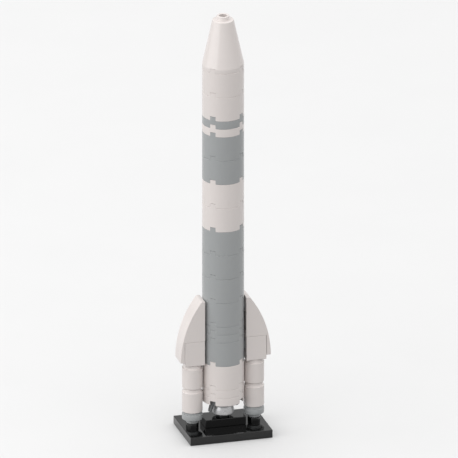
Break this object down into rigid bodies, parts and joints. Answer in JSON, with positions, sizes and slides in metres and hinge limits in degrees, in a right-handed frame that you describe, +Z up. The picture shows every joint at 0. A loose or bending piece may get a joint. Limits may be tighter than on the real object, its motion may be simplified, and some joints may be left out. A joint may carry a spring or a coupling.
{
  "type": "display rocket",
  "caption": "Upright display rocket stacked from round stud pieces, with two curved fins, two hanging boosters, a pull-off nose and a small flat stand.",
  "frame": {"origin": "centre of the stand's underside", "axes": "+Z up along the rocket, +X towards the right booster and fin, -Y towards the front"},
  "size_m": [0.0352, 0.024, 0.168],
  "materials": {
    "white_plastic": "glossy moulded",
    "grey_plastic": "glossy moulded",
    "dark_grey_plastic": "glossy moulded",
    "black_plastic": "glossy moulded",
    "silver_plastic": "metallic silver lacquer on plastic"
  },
  "bodies": {
    "stand": {"stand_plate": "black_plastic", "seat_plate": "black_plastic"},
    "engine": {"engine_bell": "silver_plastic"},
    "first_stage": {"prong_yoke": "dark_grey_plastic", "base_plate_lower": "white_plastic", "base_plate_upper": "white_plastic", "skirt_brick": "white_plastic", "fin_brick_lower": "grey_plastic", "spacer_plate_lower": "grey_plastic", "spacer_plate_upper": "grey_plastic", "fin_brick_upper": "grey_plastic", "tank_brick_lower": "grey_plastic", "tank_brick_middle": "grey_plastic", "tank_brick_upper": "grey_plastic", "root_block_left": "white_plastic", "root_block_right": "white_plastic", "root_pin_left": "dark_grey_plastic", "root_pin_right": "dark_grey_plastic", "stud_pin_left": "dark_grey_plastic", "stud_pin_right": "dark_grey_plastic", "hanger_pin_left": "dark_grey_plastic", "hanger_pin_right": "dark_grey_plastic"},
    "left_booster": {"booster_left_upper": "white_plastic", "booster_left_lower": "white_plastic", "booster_left_nozzle": "grey_plastic"},
    "right_booster": {"booster_right_upper": "white_plastic", "booster_right_lower": "white_plastic", "booster_right_nozzle": "grey_plastic"},
    "left_fin": {"fin_left": "white_plastic"},
    "right_fin": {"fin_right": "white_plastic"},
    "second_stage": {"interstage_brick_lower": "white_plastic", "interstage_brick_upper": "white_plastic", "stage_two_brick_lower": "grey_plastic", "stage_two_brick_upper": "grey_plastic"},
    "third_stage": {"band_plate_white": "white_plastic", "band_plate_grey": "grey_plastic", "payload_brick_lower": "white_plastic", "payload_brick_upper": "white_plastic"},
    "nose": {"nose_cone": "white_plastic"}
  },
  "joints": [
    {"name": "lift_off", "type": "slide", "parent": "stand", "child": "engine", "axis": [0, 0, 1], "range_m": [0, 0.03]},
    {"name": "rocket_turn", "type": "hinge", "parent": "engine", "child": "first_stage", "pos_m": [0, 0, 0.0128], "axis": [0, 0, 1], "continuous": true},
    {"name": "stage_two_pull", "type": "slide", "parent": "first_stage", "child": "second_stage", "axis": [0, 0, 1], "range_m": [0, 0.02]},
    {"name": "stage_three_pull", "type": "slide", "parent": "second_stage", "child": "third_stage", "axis": [0, 0, 1], "range_m": [0, 0.02]},
    {"name": "nose_pull", "type": "slide", "parent": "third_stage", "child": "nose", "axis": [0, 0, 1], "range_m": [0, 0.02]},
    {"name": "left_booster_turn", "type": "hinge", "parent": "first_stage", "child": "left_booster", "pos_m": [-0.012, 0, 0.0288], "axis": [0, 0, 1], "continuous": true},
    {"name": "right_booster_turn", "type": "hinge", "parent": "first_stage", "child": "right_booster", "pos_m": [0.012, 0, 0.0288], "axis": [0, 0, 1], "continuous": true},
    {"name": "left_fin_pull", "type": "slide", "parent": "first_stage", "child": "left_fin", "axis": [-1, 0, 0], "range_m": [0, 0.01]},
    {"name": "right_fin_pull", "type": "slide", "parent": "first_stage", "child": "right_fin", "axis": [1, 0, 0], "range_m": [0, 0.01]}
  ]
}
